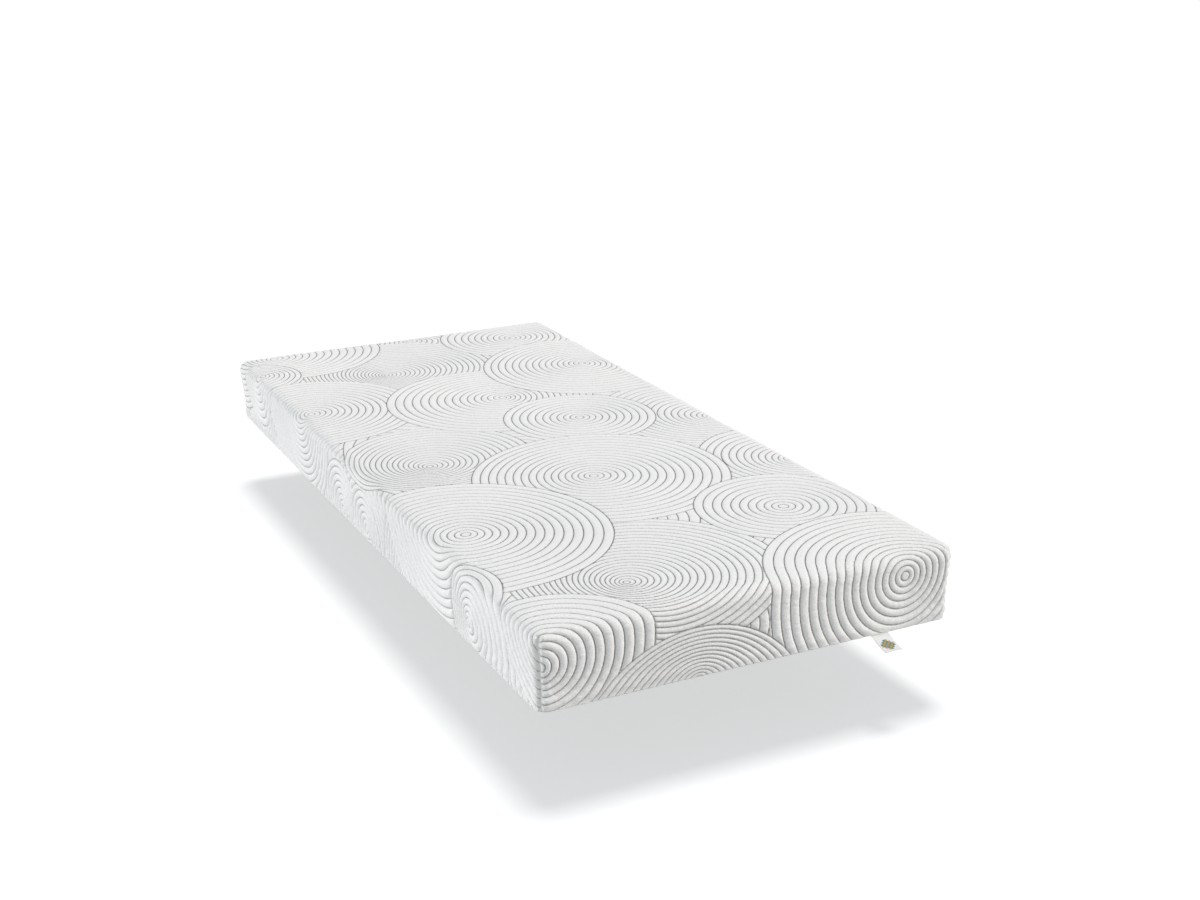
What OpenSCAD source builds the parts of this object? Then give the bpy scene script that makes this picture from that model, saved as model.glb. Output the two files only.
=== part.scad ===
// Memory foam mattress with a quilted cover that zips off.
//
// Z points up, X runs across the bed and Y along it, with the foot end at -Y. The origin is the
// middle of the underside. Most sizes are set in from the outline of the mattress: "inset" is
// always the distance inwards from the outer face of the cover's walls.
//
// The foam block stands on the base panel. The cover is a cap over the block. Its wall stops at
// the top of the hem, and the zip joins it to the base panel behind the hem. At the head end
// the hem is left out, so that the slider can be reached.

/* [Mattress] */
// Width across the bed
mattress_w = 900; // [700:1:1800]
// Length along the bed
mattress_l = 2000; // [1500:1:2200]
// Height, cover included
mattress_h = 160; // [120:1:300]
// Radius of the four upright corners
corner_r = 25; // [18:1:60]
// Radius of the rounded top edge
edge_r = 20; // [16:1:40]

/* [Foam] */
// Thickness of the memory foam layer
memory_t = 30; // [15:1:70]

/* [Cover] */
// Thickness of the knitted face
face_t = 1.5; // [1:0.1:3]
// Thickness of the quilted wadding
wadding_t = 10; // [8:0.5:20]
// Thickness of the backing cloth
backing_t = 1; // [0.5:0.1:2]
// Room between the cover and the foam
cover_gap = 0.5; // [0.3:0.1:2]
// Width of the sewn-in strip at each upright corner, across the wall
seam_t = 2; // [1:0.1:4]

/* [Hem] */
// Height of the hem that hides the zip
hem_h = 22; // [18:1:40]
// Thickness of the hem
hem_t = 5; // [3:0.1:6]
// Radius of the hem's lower outer edge
hem_r = 4; // [1:0.1:5]

/* [Base] */
// Thickness of the base panel
base_t = 3; // [2:0.1:6]
// Room between the base panel and the foam
foam_gap = 0.3; // [0.3:0.1:1]
// How far the base panel reaches out past the zip tape
rim = 1.2; // [0.5:0.1:2]

/* [Zip] */
// Thickness of each zip tape
tape_t = 0.6; // [0.4:0.1:1]
// Thickness of the zip's teeth, through the tape
teeth_t = 2; // [1.5:0.1:3]
// Height of each row of teeth
teeth_h = 2.2; // [1.5:0.1:3]
// Gap between the two rows of teeth
teeth_gap = 1.3; // [1:0.1:2]
// Length of the slider
slider_l = 16; // [12:0.5:24]
// Wall thickness of the slider
slider_wall = 1.2; // [0.8:0.1:2]
// Room between the slider and the teeth
slider_gap = 0.3; // [0.2:0.05:0.5]
// Length of the pull, from its pin to its tip
pull_l = 24; // [15:1:35]
// Width of the pull
pull_w = 6; // [5:0.5:10]
// Radius of the pin that the pull turns on
pin_r = 0.8; // [0.5:0.1:1.2]
// Distance from the outer face of the side wall to the parked slider
park = 65; // [60:1:150]

/* [Label] */
// Width of the label
label_w = 40; // [20:1:80]
// Length of the label that comes out from under the hem
label_l = 55; // [25:1:90]
// Thickness of the folded label
label_t = 0.6; // [0.4:0.1:0.8]
// Distance from the outer face of the side wall to the middle of the label
label_in = 167; // [90:1:400]
// Length of the label that is sewn in behind the hem
tab_l = 14; // [8:1:18]
// Thickness of the sewn-in end of the label
tab_t = 1; // [0.6:0.1:1.5]

/* [Hidden] */
$fn = 64;

// running clearance between the pull's eye and its pin
pin_gap = 0.1;
// room that a solid leaves beside one that moves past it
clear = 0.3;
// how far a cutting shape runs past what it cuts
past = 5;

// the cover, from its outer face inwards
wall = face_t + wadding_t + backing_t;
foam_inset = wall + cover_gap;
memory_top = mattress_h - foam_inset;
memory_bottom = memory_top - memory_t;
core_bottom = base_t + foam_gap;

// the zip: its middle plane, and the levels of its rows of teeth
slider_half = teeth_t / 2 + slider_gap + slider_wall;
zip_inset = wall - slider_half - cover_gap;
zip_z = hem_h / 2;
upper_teeth_z = zip_z + teeth_gap / 2;
lower_teeth_z = zip_z - teeth_gap / 2 - teeth_h;
flange_w = wall - zip_inset;
base_inset = zip_inset - tape_t / 2 - rim;

// the slider, parked at the head end near the right-hand corner
slider_x = mattress_w / 2 - park;
slider_y = mattress_l / 2 - zip_inset;
slider_h = teeth_gap + 2 * (teeth_h + slider_gap + slider_wall);
park_l = slider_l + 2 * clear;
stop_l = 4;
stop_gap = 1;
stop_grip = 0.5;

// the pull: its pin stands outside the slider, between two cheeks
eye_r = 1.9;
eye_h = 2.4;
cheek_t = 1;
cheek_l = 3.2;
pin_out = slider_half + eye_r + clear;
pull_t = 1.6;
pull_neck = 3;

// the hem's lower edge, just clear of the label that comes out from under it
hem_lift = label_t + clear;

// where the hem is left open at the head end, for the slider and its pull
hem_open = mattress_w - 2 * (park - pull_l - 2 * slider_gap - past);

// the label, laid out flat on the surface that the mattress rests on
label_x = mattress_w / 2 - label_in;
label_y = -mattress_l / 2 + hem_t + tab_t / 2;
label_z = label_t / 2;

function inner_r(r, inset) = max(r - inset, 1);

// Rectangle with round corners, inset from the outline of the mattress
module outline(inset) {
    w = mattress_w - 2 * inset;
    l = mattress_l - 2 * inset;
    r = inner_r(corner_r, inset);
    square([w - 2 * r, l], center = true);
    square([w, l - 2 * r], center = true);
    for (x = [-1, 1], y = [-1, 1])
        translate([x * (w / 2 - r), y * (l / 2 - r)])
            circle(r);
}

// Upright section with its two top corners rounded to r
module section(width, z0, z1, r) {
    translate([-width / 2, z0])
        square([width, z1 - z0 - r]);
    translate([-width / 2 + r, z0])
        square([width - 2 * r, z1 - z0]);
    for (x = [-1, 1])
        translate([x * (width / 2 - r), z1 - r])
            circle(r);
}

// Block with round upright corners and a rounded top edge
module cushion(inset, z0, z1, r) {
    intersection() {
        translate([0, 0, z0])
            linear_extrude(z1 - z0)
                outline(inset);
        rotate([90, 0, 0])
            linear_extrude(mattress_l, center = true)
                section(mattress_w - 2 * inset, z0, z1, r);
        rotate([90, 0, 90])
            linear_extrude(mattress_w, center = true)
                section(mattress_l - 2 * inset, z0, z1, r);
    }
}

// Cap of one layer of the cover, between two insets, open underneath
module cap(outer, inner) {
    difference() {
        cushion(outer, hem_h, mattress_h - outer, inner_r(edge_r, outer));
        cushion(inner, hem_h - past, mattress_h - inner, inner_r(edge_r, inner));
    }
}

// Upright band that runs all the way round, between two insets
module band(outer, inner, z0, z1) {
    translate([0, 0, z0])
        linear_extrude(z1 - z0)
            difference() {
                outline(outer);
                outline(inner);
            }
}

// Slot across the zip at the head end, from x0 to x1
module head_slot(x0, x1) {
    translate([x0, slider_y - slider_half - past, 0])
        cube([x1 - x0, 2 * (slider_half + past), hem_h]);
}

// Strip of the corner seam, on the bisector of each upright corner
module corner_strips(z1) {
    span = (foam_inset + corner_r) * 2;
    for (x = [-1, 1], y = [-1, 1])
        translate([x * (mattress_w / 2 - corner_r), y * (mattress_l / 2 - corner_r), hem_h])
            rotate([0, 0, atan2(y, x)])
                translate([0, -seam_t / 2, 0])
                    cube([span, seam_t, z1 - hem_h]);
}

module support_core() {
    color("ivory")
        translate([0, 0, core_bottom])
            linear_extrude(memory_bottom - core_bottom)
                outline(foam_inset);
}

module memory_layer() {
    color("aliceblue")
        cushion(foam_inset, memory_bottom, memory_top, inner_r(edge_r, foam_inset));
}

module cover_face() {
    color("white")
        cap(0, face_t);
}

module cover_wadding() {
    color("whitesmoke")
        difference() {
            cap(face_t, face_t + wadding_t);
            corner_strips(mattress_h - edge_r);
        }
}

module cover_backing() {
    color("gainsboro")
        cap(face_t + wadding_t, wall);
}

module corner_seams() {
    color("lightgray")
        intersection() {
            corner_strips(mattress_h - edge_r);
            band(face_t, face_t + wadding_t, hem_h, mattress_h - edge_r);
        }
}

module hem() {
    color("white")
        difference() {
            band(0, hem_t, hem_lift, hem_h);
            // the lower outer edge, rounded along the foot and the two sides
            difference() {
                translate([0, 0, hem_lift - past])
                    linear_extrude(hem_r + past)
                        square([mattress_w + past, mattress_l + past], center = true);
                hem_roll();
            }
            translate([-hem_open / 2, mattress_l / 2 - hem_t - past, hem_lift - past])
                cube([hem_open, hem_t + 2 * past, hem_h + past]);
        }
}

// Solid whose lower outer edge has the hem's radius
module hem_roll() {
    top = hem_lift + 2 * hem_r;
    mirror([0, 0, 1])
        intersection() {
            rotate([90, 0, 0])
                linear_extrude(mattress_l, center = true)
                    section(mattress_w, -top, -hem_lift, hem_r);
            rotate([90, 0, 90])
                linear_extrude(mattress_w, center = true)
                    section(mattress_l, -top, -hem_lift, hem_r);
        }
}

module upper_zip_tape() {
    color("white") {
        band(zip_inset - tape_t / 2, zip_inset + tape_t / 2, upper_teeth_z + teeth_h, hem_h - tape_t);
        band(zip_inset - tape_t / 2, zip_inset + flange_w, hem_h - tape_t, hem_h);
    }
}

module lower_zip_tape() {
    color("white") {
        band(zip_inset - tape_t / 2, zip_inset + tape_t / 2, base_t + tape_t, lower_teeth_z);
        band(zip_inset - tape_t / 2, zip_inset + flange_w, base_t, base_t + tape_t);
    }
}

// One row of teeth, all the way round
module teeth_row(z0) {
    band(zip_inset - teeth_t / 2, zip_inset + teeth_t / 2, z0, z0 + teeth_h);
}

module upper_zip_teeth() {
    color("whitesmoke")
        difference() {
            teeth_row(upper_teeth_z);
            head_slot(slider_x - park_l / 2, slider_x + park_l / 2 + stop_gap + stop_l);
        }
}

module lower_zip_teeth() {
    color("whitesmoke")
        difference() {
            teeth_row(lower_teeth_z);
            head_slot(slider_x + park_l / 2, slider_x + park_l / 2 + stop_l);
        }
}

// Stop across one row of teeth at the head end, from x0 on
module zip_stop(x0, z0) {
    color("silver")
        translate([x0, slider_y - teeth_t / 2 - stop_grip, z0])
            cube([stop_l, teeth_t + 2 * stop_grip, teeth_h]);
}

module upper_zip_stop() {
    zip_stop(slider_x + park_l / 2 + stop_gap, upper_teeth_z);
}

module lower_zip_box() {
    zip_stop(slider_x + park_l / 2, lower_teeth_z);
}

module label_tab() {
    color("white")
        translate([label_x - label_w / 2, -mattress_l / 2 + hem_t, hem_lift])
            cube([label_w, tab_t, tab_l]);
}

module label() {
    color("white")
        translate([label_x, label_y, label_z]) {
            rotate([0, 90, 0])
                cylinder(r = label_t / 2, h = label_w, center = true);
            translate([-label_w / 2, -label_l, -label_t / 2])
                cube([label_w, label_l, label_t]);
        }
}

module base_panel() {
    color("lightgray")
        linear_extrude(base_t)
            outline(base_inset);
}

// The slider's two plates with their flanges, joined by the wedge between the rows of teeth
module slider_shell() {
    throat_w = teeth_t + 2 * slider_gap;
    throat_h = slider_h - 2 * slider_wall;
    slot_w = tape_t + 4 * slider_gap;
    difference() {
        cube([slider_l, 2 * slider_half, slider_h], center = true);
        difference() {
            cube([slider_l + past, throat_w, throat_h], center = true);
            cube([slider_l / 2, throat_w + past, teeth_gap - 2 * slider_gap], center = true);
        }
        for (z = [-1, 1])
            translate([0, 0, z * slider_h / 2])
                cube([slider_l + past, slot_w, 2 * slider_wall + past / 2], center = true);
    }
}

module zip_slider() {
    color("silver")
        translate([slider_x, slider_y, zip_z]) {
            slider_shell();
            // two cheeks and the pin between them
            for (z = [-1, 1])
                translate([0, (slider_half + pin_out) / 2 + pin_r, z * (eye_h / 2 + clear + cheek_t / 2)])
                    cube([cheek_l, pin_out - slider_half + 2 * pin_r, cheek_t], center = true);
            translate([0, pin_out, 0])
                cylinder(r = pin_r, h = eye_h + 2 * clear, center = true);
        }
}

module zip_pull() {
    color("silver")
        translate([slider_x, slider_y + pin_out, zip_z])
            difference() {
                union() {
                    cylinder(r = eye_r, h = eye_h, center = true);
                    translate([-pull_neck - clear, -pull_t / 2, -eye_h / 2])
                        cube([pull_neck + clear, pull_t, eye_h]);
                    translate([-pull_l, -pull_t / 2, -pull_w / 2])
                        cube([pull_l - pull_neck, pull_t, pull_w]);
                }
                cylinder(r = pin_r + pin_gap, h = eye_h + past, center = true);
            }
}

support_core();
memory_layer();
cover_face();
cover_wadding();
cover_backing();
corner_seams();
hem();
upper_zip_tape();
upper_zip_teeth();
upper_zip_stop();
label_tab();
label();
base_panel();
lower_zip_tape();
lower_zip_teeth();
lower_zip_box();
zip_slider();
zip_pull();
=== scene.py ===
"""Memory foam mattress in a quilted cover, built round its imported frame.

The cover is one quilted sheet folded over a box. Its shape and its pattern are both functions
of the flat sheet: u runs across the bed, v along it, and past the top's edges the same u or v
runs on down the wall. Everything is in metres, in the frame's own axes.
"""

import math

import bmesh
import bpy
import numpy as np
from mathutils import Matrix, Vector


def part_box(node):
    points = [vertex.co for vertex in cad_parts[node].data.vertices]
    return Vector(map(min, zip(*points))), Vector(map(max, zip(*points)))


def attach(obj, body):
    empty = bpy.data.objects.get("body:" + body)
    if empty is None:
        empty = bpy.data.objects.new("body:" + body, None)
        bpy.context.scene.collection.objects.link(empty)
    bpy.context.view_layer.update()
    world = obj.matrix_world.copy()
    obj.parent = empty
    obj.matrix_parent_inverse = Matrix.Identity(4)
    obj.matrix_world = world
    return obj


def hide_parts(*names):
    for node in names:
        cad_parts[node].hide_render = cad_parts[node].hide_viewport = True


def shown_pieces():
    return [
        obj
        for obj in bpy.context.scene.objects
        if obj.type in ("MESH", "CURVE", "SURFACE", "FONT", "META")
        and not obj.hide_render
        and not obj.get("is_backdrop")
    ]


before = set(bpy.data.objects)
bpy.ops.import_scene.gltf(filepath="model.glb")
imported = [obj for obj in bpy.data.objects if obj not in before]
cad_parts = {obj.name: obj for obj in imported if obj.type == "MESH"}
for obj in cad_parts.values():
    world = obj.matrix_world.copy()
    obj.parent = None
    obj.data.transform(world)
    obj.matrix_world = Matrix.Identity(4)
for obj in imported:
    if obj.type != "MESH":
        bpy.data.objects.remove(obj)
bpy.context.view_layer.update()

MM = 0.001
CM = 0.01
FINE = 2.0 * MM

# the cover's outline and levels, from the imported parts
face_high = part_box("cover_face")[1]
HALF = np.array([face_high.x, face_high.y])
TOP = face_high.z
HEM_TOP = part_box("hem")[1].z
label_low, label_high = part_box("label")
LABEL = (label_high.x - label_low.x, label_high.y - label_low.y)
EDGE_R = 26 * MM  # of the edges between the top and the walls
CORNER_R = 25 * MM  # of the upright corners of what lies inside the cover
LINING_IN = 12 * MM  # how far the lining lies inside the box

# how far the stitched lines lie below the box, on the top and on the walls
TOP_SINK = 2.8 * MM
WALL_TUCK = 6.0 * MM
HEM_TUCK = 4.2 * MM
WALL_LEAN = 8.0 * MM
LEAN_FROM, LEAN_TO = 20 * MM, 165 * MM

# the quilting: a ridge's height, as a share of its own width and at most, and how much of that
# is left on the top
PUFF = 5.9 * MM
PUFF_SHARE = 0.31
TOP_PUFF = 0.48

# rings bunch towards a medallion's focus: ring number goes with this power of its size
BUNCH = 0.84

# Rings of the quilting: centre across and up from the foot edge, radius, how far the smallest
# ring is off the centre (all in centimetres), and number of rings. Later ones lie on top.
UNDERLAY = [
    (x, y, 42, 3 - 6 * (i % 2), 5 - 4 * (j % 3), 20)
    for i, x in enumerate((-60, -5, 52))
    for j, y in enumerate((-12, 42, 97, 150, 210))
]
MEDALLIONS = UNDERLAY + [
    (62, 38, 21, -1, 2, 12),
    (58, 12, 19, 2, 3, 11),
    (56, 82, 17, -2, 0, 10),
    (63, 118, 24, 2, -3, 15),
    (58, 165, 20, 1, 4, 12),
    (61, 192, 18, 0, 2, 11),
    (-30, 214, 20, 2, 1, 12),
    (8, 219, 24, 3, -2, 15),
    (38, 212, 17, 0, 1, 10),
    (-63, 140, 20, 2, 1, 12),
    (-57, 165, 15, 0, -2, 9),
    (-62, 190, 22, 3, 2, 14),
    (14, 196, 30, 6, 4, 17),
    (3, 190, 26, 0, 6, 17),
    (46, 196, 22, 3, -3, 14),
    (-9, 170, 26, -5.5, -4.3, 22),
    (-32, 200, 26, -4.5, -4.2, 15),
    (30, 186, 20, 0, -1.4, 12),
    (-46, 180, 12, 2.5, 1.8, 8),
    (45, 99, 27, -1, -4, 17),
    (-59, 111, 12, 0, 0, 8),
    (-26.5, 97, 22, -3.7, -5.3, 17),
    (-41, 144, 26, -1, -1, 16),
    (-58, 94, 9, 0, 0, 6),
    (-62, 60, 22, 2, 2, 15),
    (1.5, 132.5, 26, 3.5, 0, 16),
    (35.5, 150, 26.5, 0.5, 1.5, 16),
    (47, 60, 23, -2.4, -1.6, 14),
    (-14.7, 16.5, 27, -6, -3.5, 22),
    (15, 108.5, 18.5, 0, 0, 11),
    (1.3, 68.5, 28.5, -1.6, 0.7, 17),
    (-38.5, 49.5, 30, 0.3, 0.3, 17),
    (27, 34, 19, -0.6, -0.6, 11),
    (-55, 27, 14, -1, 6, 9),
    (-42, -5, 20.5, -2.6, -2, 13),
    (32, -5, 29, 1.4, 0.6, 17),
    (-12.5, -31, 25.5, 0.5, 15, 14),
]


# ---------------------------------------------------------------- meshes


def mesh_object(name, points, quads, values=None, smooth=True):
    """An object from an array of points and an array of four-sided faces, with named point values."""
    mesh = bpy.data.meshes.new(name)
    mesh.vertices.add(len(points))
    mesh.vertices.foreach_set("co", np.asarray(points, np.float32).ravel())
    mesh.loops.add(quads.size)
    mesh.loops.foreach_set("vertex_index", quads.astype(np.int32).ravel())
    mesh.polygons.add(len(quads))
    mesh.polygons.foreach_set("loop_start", np.arange(0, quads.size, 4, dtype=np.int32))
    mesh.polygons.foreach_set("use_smooth", np.full(len(quads), smooth))
    for key, value in (values or {}).items():
        layer = mesh.attributes.new(key, "FLOAT", "POINT")
        layer.data.foreach_set("value", np.asarray(value, np.float32))
    mesh.update(calc_edges=True)
    piece = bpy.data.objects.new(name, mesh)
    bpy.context.scene.collection.objects.link(piece)
    return piece


def grid_quads(index, close=False):
    """Faces of a grid of point numbers, rows downwards and columns rightwards, seen from outside."""
    upper, lower = index[:-1], index[1:]
    if close:
        right_upper, right_lower = np.roll(upper, -1, 1), np.roll(lower, -1, 1)
    else:
        right_upper, right_lower = upper[:, 1:], lower[:, 1:]
        upper, lower = upper[:, :-1], lower[:, :-1]
    return np.stack([upper, lower, right_lower, right_upper], -1).reshape(-1, 4)


def rim_walk(nx, ny):
    """Grid places once round a rim, anticlockwise, and the way that faces out from each."""
    i = np.r_[np.arange(nx), np.full(ny, nx), np.arange(nx, 0, -1), np.zeros(ny, int)]
    j = np.r_[np.zeros(nx, int), np.arange(ny), np.full(nx, ny), np.arange(ny, 0, -1)]
    out_u = np.r_[np.zeros(nx), np.ones(ny), np.zeros(nx), -np.ones(ny)]
    out_v = np.r_[-np.ones(nx), np.zeros(ny), np.ones(nx), np.zeros(ny)]
    return i, j, out_u, out_v


class Unfolded:
    """A box's top and four walls, laid out flat on lines xs, ys and downs, as one grid of points.

    Wall points have the rim's u and v, carried on outwards by their distance down the wall.
    """

    def __init__(self, xs, ys, downs):
        nx, ny = len(xs) - 1, len(ys) - 1
        self.xs, self.ys, self.downs = xs, ys, downs
        self.top = np.arange((nx + 1) * (ny + 1)).reshape(nx + 1, ny + 1)
        i, j, self.out_u, self.out_v = rim_walk(nx, ny)
        self.rim_u, self.rim_v = xs[i], ys[j]
        self.rings = np.vstack([
            self.top[i, j],
            self.top.size + np.arange((len(downs) - 1) * len(i)).reshape(-1, len(i)),
        ])
        top_u, top_v = np.meshgrid(xs, ys, indexing="ij")
        down = downs[1:, None]
        self.u = np.r_[top_u.ravel(), (self.rim_u + self.out_u * down).ravel()]
        self.v = np.r_[top_v.ravel(), (self.rim_v + self.out_v * down).ravel()]
        # distance along the wall to its nearer upright corner, and endless on the top
        along_u = xs[-1] - np.abs(self.rim_u)
        along_v = ys[-1] - np.abs(self.rim_v)
        to_corner = np.where(self.out_u != 0, along_v, along_u)
        walls = np.broadcast_to(to_corner, (len(downs) - 1, len(i))).ravel()
        self.to_corner = np.r_[np.full(self.top.size, 9.0), walls]
        self.is_wall = np.r_[np.zeros(self.top.size, bool), np.ones(walls.size, bool)]

    def quads(self):
        """Its faces, seen from outside: the top's, and then the walls' from ring to ring down."""
        top = np.stack([
            self.top[:-1, :-1], self.top[1:, :-1], self.top[1:, 1:], self.top[:-1, 1:],
        ], -1).reshape(-1, 4)
        return np.vstack([top, grid_quads(self.rings, close=True)])


def fold(u, v, half, top, radius):
    """Folds flat sheet points over a box with rounded edges: gives the points and outward normals.

    A point first goes to the sharp box. It is then drawn to the core, which is the box less the
    radius all round, and set out again by the radius; the tangent keeps the spacing even.
    """
    over_u = np.maximum(np.abs(u) - half[0], 0)
    over_v = np.maximum(np.abs(v) - half[1], 0)
    sharp = np.stack([
        np.clip(u, -half[0], half[0]),
        np.clip(v, -half[1], half[1]),
        top - over_u - over_v,
    ], 1)
    core = np.stack([
        np.clip(u, radius - half[0], half[0] - radius),
        np.clip(v, radius - half[1], half[1] - radius),
        np.minimum(sharp[:, 2], top - radius),
    ], 1)
    normal = np.tan((sharp - core) / radius * math.pi / 4)
    normal /= np.linalg.norm(normal, axis=1)[:, None]
    return core + radius * normal, normal


def lines(half, cell):
    """Evenly spaced lines from -half to half, about a cell apart."""
    return np.linspace(-half, half, 2 * math.ceil(half / cell) + 1)


def smooth_step(low, high, value):
    """Nought below low, one above high, and a smooth rise between."""
    t = np.clip((value - low) / (high - low), 0, 1)
    return t * t * (3 - 2 * t)


# ---------------------------------------------------------------- quilting


def rings_at(u, v):
    """The quilting at flat sheet points, as a dictionary of arrays.

    Each medallion is a family of circles that grow from its focus to its rim: circle t has radius
    t*R and its centre slides from the focus to the middle, so the rings crowd on one side. Ring
    number is the count times t to the power BUNCH. The last medallion that holds a point wins it.
    "edge" is the distance to the nearest medallion that lies over the point's own.
    """
    n = len(u)
    at = {key: np.zeros(n) for key in ("ring", "width", "away_u", "away_v", "angle", "pitch")}
    at["width"] += 0.02
    at["edge"] = np.full(n, 1.0)
    at["edge_u"], at["edge_v"] = np.zeros(n), np.zeros(n)
    at["which"] = np.zeros(n)
    for which, (x, y, radius, drift_x, drift_y, count) in enumerate(MEDALLIONS):
        cx, cy, radius = x * CM, y * CM - HALF[1], radius * CM
        ex, ey = -drift_x * CM, -drift_y * CM
        near = (np.abs(u - cx) < radius + 0.02) & (np.abs(v - cy) < radius + 0.02)
        k = np.flatnonzero(near)
        qx, qy = u[k] - cx + ex, v[k] - cy + ey
        a = radius**2 - ex**2 - ey**2
        b = qx * ex + qy * ey
        root = np.sqrt(b * b + a * (qx * qx + qy * qy)) + 1e-9
        t = (root - b) / a
        tx = ((b * ex + a * qx) / root - ex) / a
        ty = ((b * ey + a * qy) / root - ey) / a
        steep = np.hypot(tx, ty) + 1e-9
        inside = t < 1
        gap = (t - 1) / steep
        closer = ~inside & (gap < at["edge"][k])
        c = k[closer]
        at["edge"][c] = gap[closer]
        at["edge_u"][c], at["edge_v"][c] = (tx / steep)[closer], (ty / steep)[closer]
        c = k[inside]
        at["edge"][c] = 1.0
        at["ring"][c] = count * t[inside] ** BUNCH
        at["width"][c] = t[inside] ** (1 - BUNCH) / (count * BUNCH * steep[inside])
        at["away_u"][c], at["away_v"][c] = (tx / steep)[inside], (ty / steep)[inside]
        at["angle"][c] = np.arctan2(qy, qx)[inside]
        at["pitch"][c] = radius / count
        at["which"][c] = which
    return at


def snap_to_grooves(u, v, allowed, reach):
    """Slides sheet points that are nearer than reach to a groove onto it, so that grooves stay crisp."""
    at = rings_at(u, v)
    nearest = np.maximum(np.round(at["ring"]), 1)
    off = (at["ring"] - nearest) * at["width"]
    own = allowed & (np.abs(off) < reach) & (np.abs(off) <= at["edge"])
    rim = allowed & (at["edge"] < reach) & (at["edge"] < np.abs(off))
    u = u - np.where(own, off * at["away_u"], 0) - np.where(rim, at["edge"] * at["edge_u"], 0)
    v = v - np.where(own, off * at["away_v"], 0) - np.where(rim, at["edge"] * at["edge_v"], 0)
    return u, v, own | rim


def turned_to_grooves(quads, stitched):
    """The same quads, each begun at a corner that lies on a groove when its other two do not.

    A quad is split into triangles from its first corner to its third, so the split then runs
    along the groove and not across it.
    """
    on = stitched[quads]
    turn = on[:, 1] & on[:, 3] & ~(on[:, 0] & on[:, 2])
    return np.where(turn[:, None], np.roll(quads, 1, 1), quads)


def wobble(place, seed, count=4096):
    """Smooth random heights from -1 to 1 along a line, one every unit of place, in a long round."""
    table = np.random.default_rng(seed).uniform(-1, 1, count)
    whole = np.floor(place)
    t = place - whole
    t = t * t * (3 - 2 * t)
    low = table[whole.astype(np.int64) % count]
    high = table[(whole.astype(np.int64) + 1) % count]
    return low + (high - low) * t


def quilt(u, v, on_groove):
    """Height of the quilted face over its stitched lines, and each point's distance to a groove.

    Across a ridge the height is an arch: 4f(1-f) to the power 0.6, where f runs from 0 to 1
    between its two grooves. Puckers of two lengths, 10 and 4.6 mm along the ring, are smooth random
    heights: they lift or lower the arch by up to about a fifth, and pull its foot the other way.
    """
    at = rings_at(u, v)
    f = at["ring"] - np.floor(at["ring"])
    f = np.where(at["ring"] < 0.5, 0.5, f)
    arch = 4 * f * (1 - f)
    beside = np.clip(at["edge"] / (0.5 * at["width"]), 0, 1)
    arch = np.minimum(arch, beside * (2 - beside))
    arch = np.where(on_groove, 0, arch)
    groove = np.minimum(np.minimum(f, 1 - f) * at["width"], at["edge"])
    groove = np.where(on_groove, 0, groove)
    number = np.floor(at["ring"])
    arc = at["angle"] * (number + 0.5) * at["pitch"] + number * 3.7 + at["which"] * 11.3
    pucker = wobble(arc / (10 * MM), 5) + 0.9 * wobble(arc / (4.6 * MM), 6)
    rise = np.minimum(PUFF, PUFF_SHARE * at["width"])
    height = rise * (arch**0.6 * (1 + 0.10 * pucker) - 0.08 * pucker * (1 - arch) * (arch > 0))
    return height, groove


def wall_line(z):
    """How far the stitched lines of a wall lie outside the box at height z: it leans out upwards.

    Next to the lower edge they are shallower, because the hem and the label's end lie behind them.
    """
    tuck = HEM_TUCK + (WALL_TUCK - HEM_TUCK) * smooth_step(14 * MM, 40 * MM, z)
    return WALL_LEAN * smooth_step(LEAN_FROM, LEAN_TO, z) - tuck


# ---------------------------------------------------------------- the cover


HEAD_OPEN = 0.4146  # half the width over which the hem is left out at the head end


def hem_gone(x, y):
    """One where the hem is left out, along the middle of the head end, and nought elsewhere."""
    at_head = y > HALF[1] - EDGE_R
    return np.where(at_head, 1 - smooth_step(HEAD_OPEN - 2 * MM, HEAD_OPEN + 16 * MM, np.abs(x)), 0)


# the way that the cover turns in under its wall, as distance in from the box and height
TURN_HEM = np.array([
    (4.9, 1.3), (5.6, 0.9), (6.4, 0.9), (7.0, 1.4), (7.2, 2.6), (7.2, 6), (7.2, 10),
    (7.2, 14), (7.2, 18), (7.3, 21.4), (8.2, 22.3), (10.0, 22.4), (12.4, 22.4),
]) * MM
TURN_OPEN = np.array([
    (4.9, 21.0), (5.6, 20.7), (6.3, 20.7), (6.9, 20.9), (7.4, 21.2), (7.8, 21.5), (8.2, 21.8),
    (8.6, 22.0), (9.0, 22.2), (9.4, 22.3), (10.0, 22.4), (11.0, 22.4), (12.4, 22.4),
]) * MM


WALL_FOOT = 1.8 * MM  # height at which the flat sheet ends and the turned-in rows go on
OPEN_SHORTER = HEM_TOP - 2.2 * MM  # how much less the sheet reaches down where the hem is left out


def cover_flat(cell):
    """The flat sheet of the cover's outside, on a grid of that cell."""
    depth = TOP - WALL_FOOT
    downs = np.linspace(0, depth, math.ceil(depth / cell) + 1)
    return Unfolded(lines(HALF[0], cell), lines(HALF[1], cell), downs)


def shorten(flat):
    """Down each wall column, the share of the depth that is used: less where the hem is left out."""
    gone = hem_gone(flat.rim_u, flat.rim_v) * (flat.out_v > 0)
    share = 1 - gone * OPEN_SHORTER / flat.downs[-1]
    return gone, share


def turned_in(flat, gone):
    """Rows of points that carry each wall column on, round its lower edge and in under the wall."""
    down = 100 * MM  # all of a column below the rounded edge has the same place in plan and normal
    edge, normals = fold(
        flat.rim_u + flat.out_u * down, flat.rim_v + flat.out_v * down, HALF, TOP, EDGE_R)
    rows = TURN_HEM[:, None] * (1 - gone)[None, :, None] + TURN_OPEN[:, None] * gone[None, :, None]
    turn = edge[None] - normals[None] * rows[..., :1]
    turn[..., 2] = rows[..., 1]
    return turn


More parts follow.
